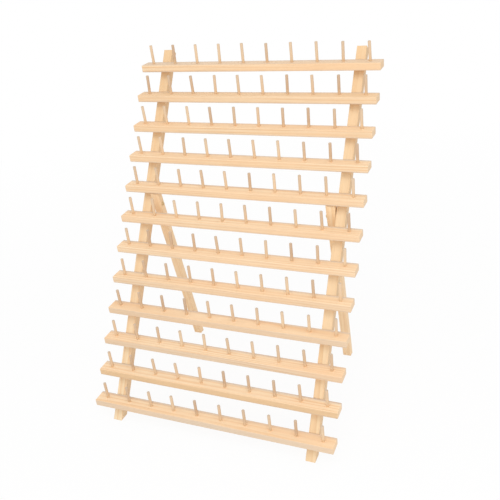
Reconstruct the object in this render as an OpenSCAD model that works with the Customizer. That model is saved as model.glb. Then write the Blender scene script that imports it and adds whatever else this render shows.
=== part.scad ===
// Thread rack: two leaning posts, twelve pegged rails and two swinging rear legs.
// Millimetres. The floor is z = 0, the front faces -Y and the rack leans back towards +Y.

/* [Rack] */
// Angle of the posts from upright, in degrees
lean = 33; // [26:0.5:37]
// Angle of the rails to the posts, in degrees
rail_angle = 35; // [32:0.5:40]
// Angle of an opened leg to its post, in degrees
leg_angle = 46; // [44:0.5:50]

/* [Posts] */
// Width of a post, seen from the front
post_w = 15; // [14:0.5:20]
// Depth of a post, front to back
post_d = 14; // [12.5:0.5:18]
// Length of a post above the corner of its top notch
post_head = 29.6; // [16:0.1:45]
// Length of a post's front face below the corner of its lowest notch
post_foot = 32.4; // [29:0.1:50]
// Distance from the end of a rail to the centre line of a post
post_inset = 35; // [20:0.5:50]

/* [Rails] */
// Depth of a rail along its broad face, which carries the pegs
rail_d = 23; // [18:0.5:26]
// Thickness of a rail
rail_t = 11; // [10:0.5:13]
// Distance from rail to rail along the post
rail_pitch = 50; // [46:0.5:60]
// Distance from the last peg to the end of a rail
rail_end = 17.5; // [10:0.5:35]

/* [Pegs] */
// Number of pegs on a rail
peg_count = 10; // [6:1:12]
// Distance from peg to peg
peg_pitch = 40; // [36:0.5:50]
// Diameter of a peg
peg_dia = 4.5; // [4.3:0.1:6]
// Height of a peg above its rail
peg_h = 29.5; // [20:0.5:40]
// Diameter of a peg's tenon, in the rail
tenon_dia = 4; // [3:0.1:4.3]
// Length of a peg's tenon
tenon_len = 8; // [5:0.5:9]

/* [Legs] */
// Thickness of a leg, seen from the front
leg_t = 14; // [9:0.5:15]
// Depth of a leg
leg_d = 11; // [10:0.5:14]
// Distance of the pivot in front of the post's back face
pivot_edge = 4; // [3.5:0.25:5]
// Distance of the pivot below the corner of the rail that stops the leg
pivot_drop = 24.5; // [22:0.5:27]

/* [Pivot screws] */
// Diameter of a pivot screw's shank
screw_dia = 4; // [3:0.1:4.5]
// Depth of a pivot screw in its post
screw_grip = 12; // [8:0.5:13]
// Diameter of a pivot screw's head
head_dia = 8; // [6:0.5:9]
// Height of a pivot screw's head
head_h = 2.6; // [2:0.1:2.9]
// Width of the slot in a screw's head
slot_w = 1; // [0.6:0.1:1.4]
// Depth of the slot in a screw's head
slot_deep = 1.2; // [0.8:0.1:1.5]
// Diameter of a pivot washer
washer_dia = 8; // [6.5:0.5:9]
// Thickness of a pivot washer
washer_t = 1; // [0.6:0.1:2]

/* [Clearances] */
// Radial gap round a peg's tenon in its hole, filled with glue
glue_gap = 0.03; // [0.02:0.01:0.08]
// Radial gap round a pivot screw in its post
grip_gap = 0.02; // [0.01:0.01:0.05]
// Radial running clearance of a leg and a washer on the pivot screw
run_gap = 0.06; // [0.04:0.01:0.1]
// Sideways play of a leg on each side
side_play = 0.1; // [0.1:0.05:0.4]
// Clearance between an opened leg's top end and the rail that stops it
stop_gap = 0.1; // [0.1:0.05:0.3]

/* [Hidden] */
$fn = 32;
rail_count = 12;
// Counted from the bottom, the last of these rails stops the legs
stop_count = 8;
// The top back edge of a rail lies in the front face of the post, with the whole back in the notch
notch_deep = rail_t * sin(rail_angle);
rail_length = (peg_count - 1) * peg_pitch + 2 * rail_end;
post_length = post_foot + (rail_count - 1) * rail_pitch + post_head;
post_x = rail_length / 2 - post_inset;
// The rack's reach over the floor, measured back from the posts' front corners
front_reach = min(0, (post_foot + rail_t * cos(rail_angle)) * sin(lean) - rail_d * cos(rail_angle - lean));
back_reach = post_length * sin(lean) + post_d * cos(lean);
mid_reach = (front_reach + back_reach) / 2;
pivot_back = post_d - pivot_edge;
pivot_up = notch_up(stop_count - 1) - pivot_drop;
pivot_z = pivot_up * cos(lean) - pivot_back * sin(lean);
leg_lean = leg_angle - lean;
leg_x = post_x - post_w / 2 - washer_t - side_play - leg_t / 2;
leg_top = pivot_drop * cos(rail_angle) + (pivot_back - notch_deep) * sin(rail_angle) - stop_gap;
eps = 0.01;
pine = [0.91, 0.74, 0.53];
pine_pale = [0.95, 0.80, 0.60];
dowel = [0.86, 0.68, 0.50];
steel = [0.80, 0.60, 0.34];

// Height of a notch's corner up the post, for a rail counted from 0 at the bottom
function notch_up(i) = post_foot + i * rail_pitch;

// Places a shape drawn on the posts, with Y back from their front faces and Z up along them
module leaning() {
    translate([0, -mid_reach, 0]) rotate([-lean, 0, 0]) children();
}

// Places a shape drawn on a rail, with Y along its depth and Z along its pegs
module on_rail(i) {
    leaning() translate([0, notch_deep, notch_up(i)]) rotate([rail_angle, 0, 0]) children();
}

// Places a shape drawn on a pivot, with X from the post to the leg and Z up along the opened leg
module on_pivot(side) {
    leaning() translate([side * leg_x, pivot_back, pivot_up])
        mirror([side > 0 ? 1 : 0, 0, 0]) rotate([leg_angle, 0, 0]) children();
}

// Makes a solid of width w from an outline drawn as back and up
module slab(w) {
    rotate([90, 0, 90]) translate([0, 0, -w / 2]) linear_extrude(w) children();
}

// One post, with the rails' notches and a hole for the screw from the side of the leg
module post(side) {
    color(pine) difference() {
        leaning() translate([side * post_x, 0, 0]) slab(post_w) difference() {
            polygon([[0, 0], [0, post_length], [post_d, post_length], [post_d, post_d * tan(lean)]]);
            for (i = [0:rail_count - 1])
                translate([notch_deep, notch_up(i)]) rotate(rail_angle)
                    translate([-rail_d, 0]) square([rail_d, rail_d]);
        }
        on_pivot(side) translate([-leg_t / 2 - side_play - washer_t + eps, 0, 0]) rotate([0, -90, 0])
            cylinder(d = screw_dia + 2 * grip_gap, h = screw_grip + grip_gap + eps);
    }
}

module left_post() { post(-1); }

module right_post() { post(1); }

// The feet of the pegs, on the middle line of a rail's broad face
module each_peg() {
    for (k = [0:peg_count - 1])
        translate([(k - (peg_count - 1) / 2) * peg_pitch, -rail_d / 2, rail_t]) children();
}

module rail(i) {
    color(pine_pale) on_rail(i) difference() {
        translate([-rail_length / 2, -rail_d, 0]) cube([rail_length, rail_d, rail_t]);
        each_peg() translate([0, 0, -tenon_len - glue_gap])
            cylinder(d = tenon_dia + 2 * glue_gap, h = tenon_len + glue_gap + eps);
    }
}

module pegs(i) {
    color(dowel) on_rail(i) each_peg() {
        cylinder(d = peg_dia, h = peg_h);
        translate([0, 0, -tenon_len]) cylinder(d = tenon_dia, h = tenon_len + eps);
    }
}

// One leg; its top end is cut to lie along the rail that stops it, and the front of that end is round
// about the pivot, to clear the rail while the leg folds
module leg(side) {
    foot = pivot_z / cos(leg_lean);
    bevel = leg_d / 2 * tan(leg_lean);
    color(pine) on_pivot(side) difference() {
        slab(leg_t) difference() {
            polygon([[-leg_d / 2, bevel - foot], [-leg_d / 2, 2 * leg_top],
                     [leg_d / 2, 2 * leg_top], [leg_d / 2, -bevel - foot]]);
            rotate(rail_angle - leg_angle) {
                translate([-2 * leg_top, leg_top]) square([4 * leg_top, 2 * leg_top]);
                difference() {
                    translate([-2 * leg_top, 0]) square([2 * leg_top, 2 * leg_top]);
                    circle(r = leg_top + stop_gap / 2, $fn = 128);
                }
            }
        }
        rotate([0, 90, 0]) cylinder(d = screw_dia + 2 * run_gap, h = leg_t + 2 * eps, center = true);
    }
}

module left_leg() { leg(-1); }

module right_leg() { leg(1); }

// One screw with a slotted round head; the shank runs back through the leg and the washer
module pivot_screw() {
    shank = leg_t + 2 * side_play + washer_t + screw_grip;
    dome_r = (head_h * head_h + head_dia * head_dia / 4) / (2 * head_h);
    difference() {
        union() {
            rotate([0, -90, 0]) cylinder(d = screw_dia, h = shank);
            rotate([0, 90, 0]) rotate_extrude() intersection() {
                translate([0, head_h - dome_r]) circle(r = dome_r, $fn = 96);
                square([head_dia / 2, head_h]);
            }
        }
        translate([head_h - slot_deep, -head_dia / 2, -slot_w / 2])
            cube([slot_deep + eps, head_dia, slot_w]);
    }
}

module pivot_screws() {
    color(steel) for (side = [-1, 1])
        on_pivot(side) translate([leg_t / 2 + side_play, 0, 0]) pivot_screw();
}

module pivot_washers() {
    color(steel) for (side = [-1, 1])
        on_pivot(side) translate([-leg_t / 2 - side_play, 0, 0]) rotate([0, -90, 0]) difference() {
            cylinder(d = washer_dia, h = washer_t);
            translate([0, 0, -eps]) cylinder(d = screw_dia + 2 * run_gap, h = washer_t + 2 * eps);
        }
}

left_post();
right_post();
left_leg();
right_leg();
pivot_screws();
pivot_washers();
rail(0);  // rail_01
rail(1);  // rail_02
rail(2);  // rail_03
rail(3);  // rail_04
rail(4);  // rail_05
rail(5);  // rail_06
rail(6);  // rail_07
rail(7);  // rail_08
rail(8);  // rail_09
rail(9);  // rail_10
rail(10);  // rail_11
rail(11);  // rail_12
pegs(0);  // pegs_01
pegs(1);  // pegs_02
pegs(2);  // pegs_03
pegs(3);  // pegs_04
pegs(4);  // pegs_05
pegs(5);  // pegs_06
pegs(6);  // pegs_07
pegs(7);  // pegs_08
pegs(8);  // pegs_09
pegs(9);  // pegs_10
pegs(10);  // pegs_11
pegs(11);  // pegs_12
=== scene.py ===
import bpy
import bmesh
import math
import random
from functools import partial
from mathutils import Euler, Matrix, Vector


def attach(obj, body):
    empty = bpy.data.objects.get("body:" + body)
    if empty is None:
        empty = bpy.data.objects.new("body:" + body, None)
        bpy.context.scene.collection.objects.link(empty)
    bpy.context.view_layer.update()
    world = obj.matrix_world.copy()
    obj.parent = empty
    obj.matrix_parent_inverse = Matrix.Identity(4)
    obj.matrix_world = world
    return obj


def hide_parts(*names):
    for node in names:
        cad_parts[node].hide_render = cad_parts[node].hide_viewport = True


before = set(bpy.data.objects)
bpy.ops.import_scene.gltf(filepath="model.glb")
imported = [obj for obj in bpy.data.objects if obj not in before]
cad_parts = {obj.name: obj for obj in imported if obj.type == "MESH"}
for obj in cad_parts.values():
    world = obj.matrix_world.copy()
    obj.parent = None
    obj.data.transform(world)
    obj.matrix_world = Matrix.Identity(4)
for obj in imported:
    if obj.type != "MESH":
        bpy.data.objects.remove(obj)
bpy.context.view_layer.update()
mm = 0.001

# the rack's setting-out, in mm and degrees, the same as in the solids
rack = {
    "lean": 33.0,           # posts, from upright
    "railAngle": 35.0,      # rails, from the posts
    "legAngle": 46.0,       # opened legs, from the posts
    "rails": 12,
    "stopRail": 7,          # stops the legs; counted from 0 at the bottom
    "railPitch": 50.0,
    "firstNotch": 32.4,     # corner of the lowest notch, up the post
    "postLength": 612.0,
    "postDepth": 14.0,
    "railDepth": 23.0,
    "railThick": 11.0,
}
lean = math.radians(rack["lean"])
railAngle = math.radians(rack["railAngle"])
legAngle = math.radians(rack["legAngle"])
notchDeep = rack["railThick"] * math.sin(railAngle)
frontReach = ((rack["firstNotch"] + rack["railThick"] * math.cos(railAngle)) * math.sin(lean)
              - rack["railDepth"] * math.cos(railAngle - lean))
backReach = rack["postLength"] * math.sin(lean) + rack["postDepth"] * math.cos(lean)
midReach = (frontReach + backReach) / 2


def notchUp(i):
    return rack["firstNotch"] + i * rack["railPitch"]


def onPosts():  # X across, Y back from the posts' front faces, Z up along them
    return Matrix.Translation((0, -midReach * mm, 0)) @ Matrix.Rotation(-lean, 4, "X")


def onRail(i):  # Y along the rail's depth, Z along its pegs
    corner = Vector((0, notchDeep, notchUp(i))) * mm
    return onPosts() @ Matrix.Translation(corner) @ Matrix.Rotation(railAngle, 4, "X")


# node helpers for the materials

def addNode(tree, kind, inputs=None, **settings):
    made = tree.nodes.new(kind)
    for key, value in settings.items():
        setattr(made, key, value)
    for key, value in (inputs or {}).items():
        if isinstance(value, bpy.types.NodeSocket):
            tree.links.new(value, made.inputs[key])
        else:
            made.inputs[key].default_value = value
    return made


def mark(tree, name, output="Fac"):
    return addNode(tree, "ShaderNodeAttribute", attribute_name=name).outputs[output]


def ramp(tree, fac, stops):
    made = addNode(tree, "ShaderNodeValToRGB", {"Fac": fac})
    bar = made.color_ramp.elements
    for n, (place, colour) in ((0, stops[0]), (1, stops[-1])):
        bar[n].position = place
        bar[n].color = (*colour, 1)
    for place, colour in stops[1:-1]:
        bar.new(place).color = (*colour, 1)
    return made.outputs["Color"]


def blendColour(tree, fac, a, b, mode="MIX"):
    made = addNode(tree, "ShaderNodeMix", data_type="RGBA", blend_type=mode)
    sockets = (made.inputs[0], made.inputs[6], made.inputs[7])  # the share, then the two colours
    for socket, value in zip(sockets, (fac, a, b)):
        if isinstance(value, bpy.types.NodeSocket):
            tree.links.new(value, socket)
        else:
            socket.default_value = value if isinstance(value, float) else (*value, 1)
    return made.outputs[2]


def sums(tree, kind, *terms):
    return addNode(tree, "ShaderNodeMath", dict(enumerate(terms)), operation=kind).outputs[0]


def vectorSums(tree, kind, a, b):
    return addNode(tree, "ShaderNodeVectorMath", {0: a, 1: b}, operation=kind).outputs[0]


def spread(tree, value, reach, result):
    limits = {"Value": value, "From Min": reach[0], "From Max": reach[1],
              "To Min": result[0], "To Max": result[1]}
    return addNode(tree, "ShaderNodeMapRange", limits).outputs[0]


def stretched(tree, vector, scale, detail=2.0, rough=0.5, output="Fac"):
    turned = addNode(tree, "ShaderNodeMapping", {"Vector": vector, "Scale": scale})
    noise = {"Vector": turned.outputs[0], "Scale": 1.0, "Detail": detail, "Roughness": rough}
    return addNode(tree, "ShaderNodeTexNoise", noise).outputs[output]


def startMaterial(name):
    material = bpy.data.materials.new(name)
    material.use_nodes = True
    return material, material.node_tree, material.node_tree.nodes["Principled BSDF"]


def woodMaterial(name, look):
    material, tree, shader = startMaterial(name)
    grain = mark(tree, "grain", "Vector")
    tone = mark(tree, "tone")
    cut = mark(tree, "endGrain")
    wornAndLit = mark(tree, "wearAndFootLight")
    dustShade = mark(tree, "dustAndShade")

    # growth rings about a pith outside the board, pulled about by a slow drift along the stem
    drift = stretched(tree, grain, look["driftScale"], 3.0, output="Color")
    drift = vectorSums(tree, "SUBTRACT", drift, (0.5, 0.5, 0.5))
    drift = vectorSums(tree, "MULTIPLY", drift, (0, look["drift"], look["drift"]))
    pulled = vectorSums(tree, "ADD", grain, drift)
    wave = {"Vector": pulled, "Scale": look["ringScale"], "Distortion": 0.0}
    rings = addNode(tree, "ShaderNodeTexWave", wave, wave_type="RINGS", rings_direction="X",
                    wave_profile="SAW").outputs["Fac"]
    shades = [look[word] for word in ("pale", "mid", "late", "late", "pale")]
    colour = ramp(tree, rings, list(zip(look["ringStops"], shades)))

    # rings show strongly in places and hardly at all in others
    patch = stretched(tree, grain, look["patchScale"])
    patch = spread(tree, patch, look["patchReach"], (look["ringLow"], look["ringHigh"]))
    colour = blendColour(tree, patch, look["mid"], colour)

    # warm and pale stretches, then each piece's own tone
    warm = stretched(tree, grain, look["warmScale"])
    warm = spread(tree, warm, look["warmReach"], (0.0, look["warmth"]))
    colour = blendColour(tree, warm, colour, look["warm"])
    colour = blendColour(tree, tone, colour, look["dark"])

    # fine fibres and short resin flecks along the grain
    fibre = stretched(tree, grain, look["fibreScale"], 3.0, 0.6)
    colour = blendColour(tree, look["fibre"], colour, ramp(tree, fibre, look["streaks"]), "MULTIPLY")
    fleck = stretched(tree, grain, look["fleckScale"], 1.0)
    fleck = spread(tree, fleck, look["fleckReach"], (0.0, look["fleck"]))
    colour = blendColour(tree, fleck, colour, look["fleckTone"])

    # sawn ends have open pores and a tone of their own (on the rails, posts and legs a pale tone that is
    # painted light); then rubbed places, painted bounce light at the peg feet, and dust and painted shade
    pores = stretched(tree, grain, look["poreScale"])
    endTone = ramp(tree, pores, [(0.3, look["endDark"]), (0.7, look["end"])])
    colour = blendColour(tree, sums(tree, "MULTIPLY", cut, look["endShare"]), colour, endTone)
    colour = blendColour(tree, sums(tree, "MULTIPLY", wornAndLit, look["rubbedLitShare"]), colour, look["rubbedAndLit"])
    # the dust mark holds painted shade on the rails' edges and front faces as well as dust
    held = sums(tree, "MULTIPLY_ADD", warm, look["warmDustShade"], look["dustShadeShare"])
    colour = blendColour(tree, sums(tree, "MULTIPLY", dustShade, held), colour, look["dustAndShade"])
    tree.links.new(colour, shader.inputs["Base Color"])

    # late wood is a little smoother; ends and fibres are rough
    rough = sums(tree, "MULTIPLY_ADD", fibre, look["fibreRough"], look["rough"])
    rough = sums(tree, "MULTIPLY_ADD", rings, look["ringRough"], rough)
    rough = sums(tree, "MULTIPLY_ADD", cut, look["endRough"], rough)
    tree.links.new(rough, shader.inputs["Roughness"])
    shader.inputs["Specular IOR Level"].default_value = look["gloss"]

    # planed surface: fibres, and late wood standing a little proud
    height = sums(tree, "MULTIPLY_ADD", rings, look["ringProud"], fibre)
    height = sums(tree, "MULTIPLY_ADD", sums(tree, "MULTIPLY", pores, cut), look["poreProud"], height)
    bump = addNode(tree, "ShaderNodeBump", {"Height": height, "Strength": look["bump"],
                                            "Distance": look["bumpReach"]})
    tree.links.new(bump.outputs[0], shader.inputs["Normal"])
    return material


# looks: colours, then the scale and strength of each mark; scales are per metre, along the grain first
pineRails = {
    "pale": (0.935, 0.745, 0.52), "mid": (0.915, 0.70, 0.47), "late": (0.80, 0.50, 0.265),
    "warm": (0.90, 0.61, 0.37), "dark": (0.80, 0.55, 0.31), "fleckTone": (0.64, 0.37, 0.18),
    # the end colours are nearly as pale as the faces: painted light on the sawn ends, which the posts and
    # legs take too
    "end": (0.94, 0.73, 0.51), "endDark": (0.86, 0.62, 0.40), "rubbedAndLit": (0.95, 0.77, 0.56),
    "dustAndShade": (0.56, 0.49, 0.435),
    "endShare": 0.6, "rubbedLitShare": 0.35, "dustShadeShare": 0.85, "warmDustShade": -0.5,
    "ringScale": 90, "ringStops": (0.0, 0.45, 0.84, 0.93, 1.0), "ringLow": 0.3, "ringHigh": 1.0,
    "patchScale": (7, 55, 55), "patchReach": (0.35, 0.68),
    "drift": 0.0075, "driftScale": (3.2, 45, 45),
    "warmth": 0.85, "warmScale": (4, 30, 30), "warmReach": (0.4, 0.75),
    "fibre": 0.8, "fibreScale": (22, 1500, 1500),
    "streaks": [(0.25, (0.86, 0.82, 0.77)), (0.5, (1, 1, 1)), (0.8, (1.05, 1.04, 1.02))],
    "fleck": 0.4, "fleckScale": (95, 2600, 2600), "fleckReach": (0.7, 0.78),
    "poreScale": (900, 900, 900),
    "rough": 0.50, "fibreRough": 0.22, "ringRough": -0.06, "endRough": 0.16, "gloss": 0.32,
    "bump": 0.35, "bumpReach": 0.0002, "ringProud": 0.35, "poreProud": 0.9,
}
pinePosts = dict(pineRails, pale=(0.895, 0.735, 0.505), mid=(0.875, 0.68, 0.45), late=(0.82, 0.57, 0.33),
                 ringScale=120, ringLow=0.35, drift=0.006, warmth=0.5)
pineRightPost = dict(pinePosts, late=(0.74, 0.50, 0.27), ringScale=150)
# the legs' wood is a paler copy of the posts': painted light, making up for the shade the rails cast on the
# legs
pineLegsLit = dict(pinePosts, pale=(0.99, 0.80, 0.545), mid=(0.985, 0.75, 0.49), late=(0.91, 0.62, 0.34))
dowelPegs = dict(pineRails, pale=(0.93, 0.735, 0.50), mid=(0.89, 0.68, 0.45), late=(0.80, 0.55, 0.34),
                 warm=(0.87, 0.61, 0.385), dark=(0.60, 0.39, 0.235), dustAndShade=(0.52, 0.42, 0.325),
                 end=(0.70, 0.58, 0.46), endDark=(0.54, 0.43, 0.33), rubbedAndLit=(0.98, 0.77, 0.53),
                 rubbedLitShare=0.8, fleckTone=(0.52, 0.32, 0.18), ringScale=260, ringLow=0.1, ringHigh=0.5,
                 drift=0.002, fleck=0.55, endShare=0.85, fibreScale=(60, 2400, 2400),
                 rough=0.46, gloss=0.38, bump=0.3)
woods = {"rails": woodMaterial("pineRails", pineRails),
         "left": woodMaterial("pineLeftPost", pinePosts),
         "right": woodMaterial("pineRightPost", pineRightPost),
         "legs": woodMaterial("pineLegsLit", pineLegsLit),
         "pegs": woodMaterial("dowelPegs", dowelPegs)}
print("woods mixed:", ", ".join(woods))

# marks that the woods read: grain space, the piece's tone, rubbed places and painted bounce light, dust and
# painted shade, and sawn ends
stem = 40.0      # metres of stem that pieces are cut from, so that no two look alike
sawnEnd = 0.8    # a face that points this much along the grain is a sawn end
arrisBend = 0.7  # edges that turn by more than this, in radians, are arrises


def addMarks(bm):
    points = bm.verts.layers
    return (points.float_vector.new("grain"), points.float.new("tone"), points.float.new("wearAndFootLight"),
            points.float.new("dustAndShade"), bm.faces.layers.float.new("endGrain"))


def drawPith(dice, piece):  # where the board lay: along the stem, then aside and away from its pith
    along = dice.uniform(0, stem)
    aside = dice.uniform(-piece["pithAside"], piece["pithAside"])
    facing = dice.choice((-1, 1))
    return along, aside, facing * dice.uniform(*piece["pithAway"])


def markWood(bm, order, pith, toneAt, eased, dustShadeAt=None):
    grainMark, toneMark, wearLightMark, dustShadeMark, endMark = addMarks(bm)
    bm.normal_update()
    for vert in bm.verts:
        local = Vector([vert.co[axis] for axis in order])
        vert[grainMark] = local + Vector(pith)
        vert[toneMark] = toneAt(vert.co / mm)
        vert[dustShadeMark] = dustShadeAt(vert.co / mm) if dustShadeAt else 0.0
        vert[wearLightMark] = 1.0 if all(face in eased for face in vert.link_faces) else 0.0
    for face in bm.faces:
        face.smooth = face in eased
        face[endMark] = 1.0 if abs(face.normal[order[0]]) > sawnEnd else 0.0


def arrises(bm):
    return [e for e in bm.edges if e.calc_face_angle(0) > arrisBend]


def ease(bm, edges, width, segments=2):
    made = bmesh.ops.bevel(bm, geom=edges, offset=width * mm, offset_type="OFFSET", segments=segments,
                           profile=0.5, affect="EDGES", clamp_overlap=True, material=-1)
    return set(made["faces"])


def sweepAcross(bm, flank, width):
    swept = bmesh.ops.extrude_face_region(bm, geom=flank)
    moved = [v for v in swept["geom"] if isinstance(v, bmesh.types.BMVert)]
    bmesh.ops.translate(bm, vec=(width * mm, 0, 0), verts=moved)
    bmesh.ops.recalc_face_normals(bm, faces=bm.faces)


def addPiece(bm, name, node, body, material, place):
    bmesh.ops.transform(bm, matrix=place, verts=bm.verts)
    mesh = bpy.data.meshes.new(name)
    bm.to_mesh(mesh)
    bm.free()
    mesh.materials.append(material)
    piece = bpy.data.objects.new(name, mesh)
    bpy.context.scene.collection.objects.link(piece)
    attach(piece, body)
    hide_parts(node)
    return piece


# rails: square strips with eased arrises, with painted shade along the back edge and low on the front; lists
# run upwards
rail = {"length": 395.0, "depth": rack["railDepth"], "thick": rack["railThick"], "ease": 1.0, "easeSteps": 3,
        # width and strength of the painted shade at the back arris and at the low front edge
        "shadeBack": 6.5, "shadeLow": 3.0, "lowShade": 0.7,
        "edgeBand": 1.2, "faceBand": 0.2,  # within this of a face, with its arris or without
        # painted shade on each rail's front face, strongest on the lower rails; then greyer broad faces on
        # the top rails
        "frontShade": [0.52, 0.15, 0.40, 0.40, 0.22, 0.08, 0.10, 0.06, 0.05, 0.06, 0.08, 0.0],
        "frontTones": [0.1, 1.0, 0.2, 0.3, 0.2, 0.0, 0.1, 0.15, 0.2, 0.3, 0.3, 0.15],
        "broadGreying": [0.0, 0.0, 0.0, 0.0, 0.0, 0.0, 0.0, 0.0, 0.0, 0.0, 0.08, 0.5],
        "tones": [0.05, 0.0, 0.0, 0.0, 0.08, 0.08, 0.05, 0.12, 0.15, 0.14, 0.62, 0.5],
        "seed": 40, "pithAside": 0.03, "pithAway": (0.022, 0.06)}


# painted shade: darker along the back arris, at the low front edge and on the lower rails' front faces; the
# top rails' broad faces are greyer
def railShadeAndGrey(i, place):
    back, up = -place.y, place.z
    top = 1 - back / rail["shadeBack"] if up > rail["thick"] - rail["edgeBand"] else 0
    low = rail["lowShade"] * (1 - up / rail["shadeLow"]) if back > rail["depth"] - rail["edgeBand"] else 0
    front = rail["frontShade"][i] if back > rail["depth"] - rail["faceBand"] else 0
    broad = rail["broadGreying"][i] if up > rail["thick"] - rail["faceBand"] else 0
    return max(top, low, front, broad, 0.0)


def railTone(i, place):
    onFront = -place.y > rail["depth"] - rail["faceBand"]
    return rail["frontTones"][i] if onFront else rail["tones"][i]


def buildRail(i):
    dice = random.Random(rail["seed"] + i)
    bm = bmesh.new()
    bmesh.ops.create_cube(bm, size=1.0)
    bmesh.ops.scale(bm, vec=Vector((rail["length"], rail["depth"], rail["thick"])) * mm, verts=bm.verts)
    bmesh.ops.translate(bm, vec=Vector((0, -rail["depth"] / 2, rail["thick"] / 2)) * mm, verts=bm.verts)
    # rows of points where the painted shade ends
    behind = (0, -rail["shadeBack"] * mm, 0)
    above = (0, 0, rail["shadeLow"] * mm)
    for cut, across in ((behind, (0, 1, 0)), (above, (0, 0, 1))):
        whole = bm.verts[:] + bm.edges[:] + bm.faces[:]
        bmesh.ops.bisect_plane(bm, geom=whole, plane_co=cut, plane_no=across)
    eased = ease(bm, arrises(bm), rail["ease"], rail["easeSteps"])
    markWood(bm, (0, 1, 2), drawPith(dice, rail), partial(railTone, i), eased, partial(railShadeAndGrey, i))
    return addPiece(bm, "rail%02d" % (i + 1), "rail_%02d" % (i + 1), "frame",
                    woods["rails"], onRail(i))


railPieces = [buildRail(i) for i in range(rack["rails"])]
print("rails planed:", len(railPieces))

# pegs: cut from dowel, each a little off square, with a small chamfer
peg = {"count": 10, "pitch": 40.0, "radius": 2.25, "height": 29.5, "sunk": 1.0, "chamfer": 0.4, "sides": 16,
       "offSquare": 0.8, "spin": 6.28,  # standard deviation in degrees, and a turn anyhow in radians
       "short": 1.0,  # up to this much is missing at the tip
       "tipDust": 0.5, "litFoot": 9.0,
       "tones": (0.2, 0.32, 0.45, 0.6, 0.8, 1.0), "toneSpread": (0.8, 1.2),
       "seed": 300, "pithAside": 0.02, "pithAway": (0.006, 0.03)}


def newSince(bm, before):
    return [v for v in bm.verts if v not in before]


def buildPegs(i):
    dice = random.Random(peg["seed"] + i)
    bm = bmesh.new()
    grainMark, toneMark, wearLightMark, dustShadeMark, endMark = addMarks(bm)
    for k in range(peg["count"]):
        height = peg["height"] + peg["sunk"] + dice.uniform(-peg["short"], 0)
        before = set(bm.verts)
        bmesh.ops.create_cone(bm, cap_ends=True, cap_tris=False, segments=peg["sides"],
                              radius1=peg["radius"] * mm, radius2=peg["radius"] * mm, depth=height * mm)
        new = newSince(bm, before)
        bmesh.ops.translate(bm, vec=(0, 0, (height / 2 - peg["sunk"]) * mm), verts=new)
        # a ring of points where the painted bounce light on the foot ends, then the chamfer
        sides = [e for e in bm.edges if e.verts[0] in new]
        skins = [f for f in bm.faces if f.verts[0] in new]
        bmesh.ops.bisect_plane(bm, geom=new + sides + skins, plane_co=(0, 0, peg["litFoot"] * mm),
                               plane_no=(0, 0, 1))
        new = newSince(bm, before)
        tip = max(v.co.z for v in new) - 1e-6
        rim = [e for e in bm.edges if e.verts[0] in new and min(v.co.z for v in e.verts) > tip]
        chamfer = ease(bm, rim, peg["chamfer"], 1)
        new = newSince(bm, before)
        pith = (dice.uniform(0, stem), dice.uniform(-peg["pithAside"], peg["pithAside"]),
                dice.uniform(*peg["pithAway"]))
        tone = dice.choice(peg["tones"]) * dice.uniform(*peg["toneSpread"])
        for vert in new:
            rise = max(vert.co.z, 0) / (height * mm)
            vert[grainMark] = Vector((vert.co.z, vert.co.x, vert.co.y)) + Vector(pith)
            vert[toneMark] = min(tone, 1.0)
            # painted bounce light: each peg's foot is paler, fading out up the peg
            vert[wearLightMark] = max(1.0 - vert.co.z / (peg["litFoot"] * mm), 0.0)
            vert[dustShadeMark] = peg["tipDust"] * rise
        bm.normal_update()
        for face in {f for v in new for f in v.link_faces}:
            face[endMark] = 1.0 if face.normal.z > 0.9 else (0.5 if face in chamfer else 0.0)
            face.smooth = abs(face.normal.z) < 0.3  # the round side
        tilts = [math.radians(dice.gauss(0, peg["offSquare"])) for axis in "XY"]
        turn = Euler((*tilts, dice.uniform(0, peg["spin"])))
        across = (k - (peg["count"] - 1) / 2) * peg["pitch"]
        foot = Vector((across, -rail["depth"] / 2, rail["thick"])) * mm
        bmesh.ops.transform(bm, matrix=Matrix.Translation(foot) @ turn.to_matrix().to_4x4(), verts=new)
    return addPiece(bm, "pegs%02d" % (i + 1), "pegs_%02d" % (i + 1), "frame",
                    woods["pegs"], onRail(i))


pegPieces = [buildPegs(i) for i in range(rack["rails"])]
print("peg rows set:", len(pegPieces))

# posts: notched strips, feet cut to the floor
post = {"width": 15.0, "depth": rack["postDepth"], "length": rack["postLength"], "across": 162.5, "ease": 0.6,
        "faceBand": 0.2,  # points further in than this are in a notch, which stays sharp
        "tones": {"left": (0.0, 0.8), "right": (0.3, 0.65)},  # foot, head
        "seed": 70, "pithAside": 0.012, "pithAway": (0.03, 0.05)}


def buildPost(side, word):
    dice = random.Random(post["seed"] + side)
    outline = [(0, 0)]
    for i in range(rack["rails"]):
        up = notchUp(i)
        outline += [(0, up - notchDeep * math.tan(railAngle)), (notchDeep, up),
                    (0, up + rack["railThick"] * math.cos(railAngle))]
    outline += [(0, post["length"]), (post["depth"], post["length"]),
                (post["depth"], post["depth"] * math.tan(lean))]
    bm = bmesh.new()
    verts = [bm.verts.new(Vector((-post["width"] / 2, d, s)) * mm) for d, s in outline]
    sweepAcross(bm, [bm.faces.new(verts)], post["width"])
    near = post["faceBand"] * mm
    far = (post["depth"] - post["faceBand"]) * mm
    arris = [e for e in bm.edges if not any(near < v.co.y < far for v in e.verts)]
    eased = ease(bm, arris, post["ease"])
    low, high = post["tones"][word]
    markWood(bm, (2, 0, 1), drawPith(dice, post),
             lambda place: low + (high - low) * place.z / post["length"], eased)
    return addPiece(bm, word + "Post", word + "_post", "frame", woods[word],
                    onPosts() @ Matrix.Translation((side * post["across"] * mm, 0, 0)))


postPieces = [buildPost(-1, "left"), buildPost(1, "right")]
print("posts notched:", len(postPieces))

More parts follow.
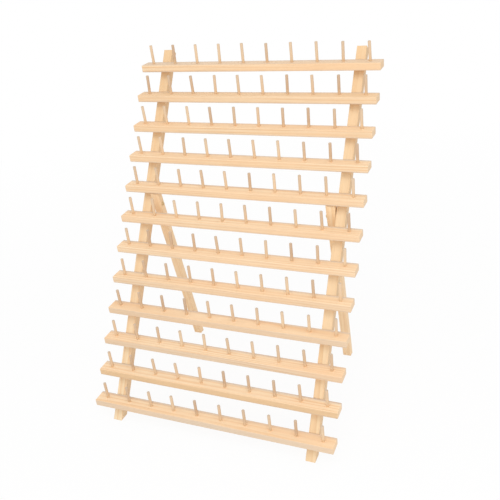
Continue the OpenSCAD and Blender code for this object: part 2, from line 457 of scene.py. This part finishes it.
# legs: swing on the inner side of each post, round at the front of the top end
leg = {"thick": 14.0, "depth": 11.0, "across": 146.9, "back": 10.0, "drop": 24.5, "ease": 0.6,
       "noseGap": 0.05, "noseSteps": 8, "stopGap": 0.1,
       "bore": 2.06, "boreSides": 24, "boreRim": 3.0,  # no edge is eased within boreRim of the pivot
       "tones": {"left": 0.03, "right": 0.0},
       "seed": 90, "pithAside": 0.02, "pithAway": (0.02, 0.05)}
pivotUp = notchUp(rack["stopRail"]) - leg["drop"]


def onPivot(side):  # Z up along the opened leg
    place = Vector((side * leg["across"], leg["back"], pivotUp)) * mm
    return onPosts() @ Matrix.Translation(place) @ Matrix.Rotation(legAngle, 4, "X")


def buildLeg(side, word):
    dice = random.Random(leg["seed"] + side)
    legLean = legAngle - lean
    half = leg["depth"] / 2
    top = leg["drop"] * math.cos(railAngle) + (leg["back"] - notchDeep) * math.sin(railAngle) - leg["stopGap"]
    nose = top + leg["noseGap"]
    pivotHeight = pivotUp * math.cos(lean) - leg["back"] * math.sin(lean)
    foot = -pivotHeight / math.cos(legLean)
    bevel = half * math.tan(legLean)
    skew = legAngle - railAngle  # the top end lies along the rail above it
    first = math.asin(half / nose)
    last = math.acos(top / nose) - skew
    arc = [first + (last - first) * t / leg["noseSteps"] for t in range(leg["noseSteps"] + 1)]
    outline = [(-half, foot + bevel)] + [(-nose * math.sin(a), nose * math.cos(a)) for a in arc]
    outline += [(half, (top - half * math.sin(skew)) / math.cos(skew)), (half, foot - bevel)]
    bm = bmesh.new()
    verts = [bm.verts.new(Vector((-leg["thick"] / 2, d, s)) * mm) for d, s in outline]
    rims = [bm.edges.new((verts[n - 1], verts[n])) for n in range(len(verts))]
    hole = bmesh.ops.create_circle(bm, cap_ends=False, segments=leg["boreSides"], radius=leg["bore"] * mm,
                                   matrix=Matrix.Translation((-leg["thick"] / 2 * mm, 0, 0))
                                   @ Matrix.Rotation(math.pi / 2, 4, "Y"))
    rims += [e for e in bm.edges if e.verts[0] in hole["verts"]]
    bmesh.ops.triangle_fill(bm, use_beauty=True, use_dissolve=False, edges=rims)
    sweepAcross(bm, bm.faces[:], leg["thick"])
    arris = [e for e in arrises(bm)
             if min(math.hypot(v.co.y, v.co.z) for v in e.verts) > leg["boreRim"] * mm]
    eased = ease(bm, arris, leg["ease"])
    markWood(bm, (2, 0, 1), drawPith(dice, leg), lambda place: leg["tones"][word], eased)
    return addPiece(bm, word + "Leg", word + "_leg", word + "_leg", woods["legs"], onPivot(side))


legPieces = [buildLeg(-1, "left"), buildLeg(1, "right")]
print("legs hung:", len(legPieces))

# screws and washers keep their solids and get a yellow plated finish
plating = {"tint": (0.80, 0.60, 0.34), "shade": 0.82, "cloudScale": 420.0, "scratchScale": (900, 6000, 900),
           "rough": 0.26, "scratchRough": 0.25, "bump": 0.15, "bumpReach": 0.0001}


def zincMaterial(name, look):
    material, tree, shader = startMaterial(name)
    place = addNode(tree, "ShaderNodeTexCoord").outputs["Object"]
    cloud = addNode(tree, "ShaderNodeTexNoise", {"Vector": place, "Scale": look["cloudScale"],
                                                 "Detail": 4.0}).outputs["Fac"]
    scratch = stretched(tree, place, look["scratchScale"], 3.0, 0.7)
    shaded = tuple(look["shade"] * c for c in look["tint"])
    tree.links.new(ramp(tree, cloud, [(0.3, shaded), (0.7, look["tint"])]), shader.inputs["Base Color"])
    shader.inputs["Metallic"].default_value = 1.0
    rough = sums(tree, "MULTIPLY_ADD", scratch, look["scratchRough"], look["rough"])
    tree.links.new(rough, shader.inputs["Roughness"])
    bump = addNode(tree, "ShaderNodeBump", {"Height": scratch, "Strength": look["bump"],
                                            "Distance": look["bumpReach"]})
    tree.links.new(bump.outputs[0], shader.inputs["Normal"])
    return material


zinc = zincMaterial("yellowZinc", plating)
for node in ("pivot_screws", "pivot_washers"):
    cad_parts[node].data.materials.clear()
    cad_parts[node].data.materials.append(zinc)
print("screws and washers plated")

# floor, backdrop and soft light; the floor turns white towards whiteBy, in metres
studio = {"floor": 30.0, "floorDrop": 0.0002, "paper": (0.86, 0.86, 0.86, 1), "ambient": 0.86,
          "whiteNear": 0.92, "whiteFrom": 0.45, "whiteBy": 1.6, "aim": (0, 0, 0.24),
          "key": {"place": (0.30, -0.75, 1.75), "size": 0.9, "watts": 7.0},
          "fill": {"place": (0.45, -1.15, 0.70), "size": 0.6, "watts": 2.6}}
pureWhite = {"Color": (1, 1, 1, 1), "Strength": 1.0}


def seenDirectly(tree):
    path = addNode(tree, "ShaderNodeLightPath")
    seen = sums(tree, "MAXIMUM", path.outputs["Is Camera Ray"], path.outputs["Is Glossy Ray"])
    return sums(tree, "MAXIMUM", seen, path.outputs["Is Transmission Ray"])


def mixShaders(tree, share, a, b):
    return addNode(tree, "ShaderNodeMixShader", {0: share, 1: a.outputs[0], 2: b.outputs[0]}).outputs[0]


def buildFloor():
    bm = bmesh.new()
    bmesh.ops.create_grid(bm, x_segments=1, y_segments=1, size=studio["floor"] / 2)
    bmesh.ops.translate(bm, vec=(0, 0, -studio["floorDrop"]), verts=bm.verts)
    mesh = bpy.data.meshes.new("floor")
    bm.to_mesh(mesh)
    bm.free()
    floor = bpy.data.objects.new("floor", mesh)
    bpy.context.scene.collection.objects.link(floor)
    paper = bpy.data.materials.new("paleFloor")
    paper.use_nodes = True
    tree = paper.node_tree
    tree.nodes.clear()
    matt = addNode(tree, "ShaderNodeBsdfDiffuse", {"Color": studio["paper"]})
    white = addNode(tree, "ShaderNodeEmission", pureWhite)
    place = addNode(tree, "ShaderNodeTexCoord").outputs["Object"]
    away = addNode(tree, "ShaderNodeVectorMath", {0: place}, operation="LENGTH").outputs["Value"]
    away = spread(tree, away, (studio["whiteFrom"], studio["whiteBy"]), (studio["whiteNear"], 1.0))
    share = sums(tree, "MULTIPLY", seenDirectly(tree), away)
    addNode(tree, "ShaderNodeOutputMaterial", {"Surface": mixShaders(tree, share, matt, white)})
    mesh.materials.append(paper)


def buildLight():
    world = bpy.data.worlds.new("studio")
    world.use_nodes = True
    bpy.context.scene.world = world
    tree = world.node_tree
    tree.nodes.clear()
    dim = addNode(tree, "ShaderNodeBackground", {"Color": (1, 1, 1, 1), "Strength": studio["ambient"]})
    plain = addNode(tree, "ShaderNodeBackground", pureWhite)
    addNode(tree, "ShaderNodeOutputWorld", {"Surface": mixShaders(tree, seenDirectly(tree), dim, plain)})
    for word in ("key", "fill"):
        lamp = bpy.data.lights.new(word, "AREA")
        lamp.energy = studio[word]["watts"]
        lamp.size = studio[word]["size"]
        holder = bpy.data.objects.new(word, lamp)
        holder.location = studio[word]["place"]
        aim = Vector(studio["aim"]) - holder.location
        holder.rotation_euler = aim.to_track_quat("-Z", "Y").to_euler()
        bpy.context.scene.collection.objects.link(holder)


buildFloor()
buildLight()
print("studio lit")

# camera at the photograph's angle
photoView = {"place": (0.40648, -0.84152, 0.69544), "turn": (61.7583, 5.1264, 21.9975), "lens": 47.8622,
             "shift": (0.0, 0.04581), "sensor": 36.0, "nearest": 0.01}
lens = bpy.data.cameras.new("photoView")
lens.sensor_width = photoView["sensor"]
lens.lens = photoView["lens"]
lens.shift_x, lens.shift_y = photoView["shift"]
lens.clip_start = photoView["nearest"]
camera = bpy.data.objects.new("photoView", lens)
camera.location = photoView["place"]
camera.rotation_euler = [math.radians(a) for a in photoView["turn"]]
bpy.context.scene.collection.objects.link(camera)
bpy.context.scene.camera = camera
bpy.context.scene.view_settings.view_transform = "Standard"
print("camera set")
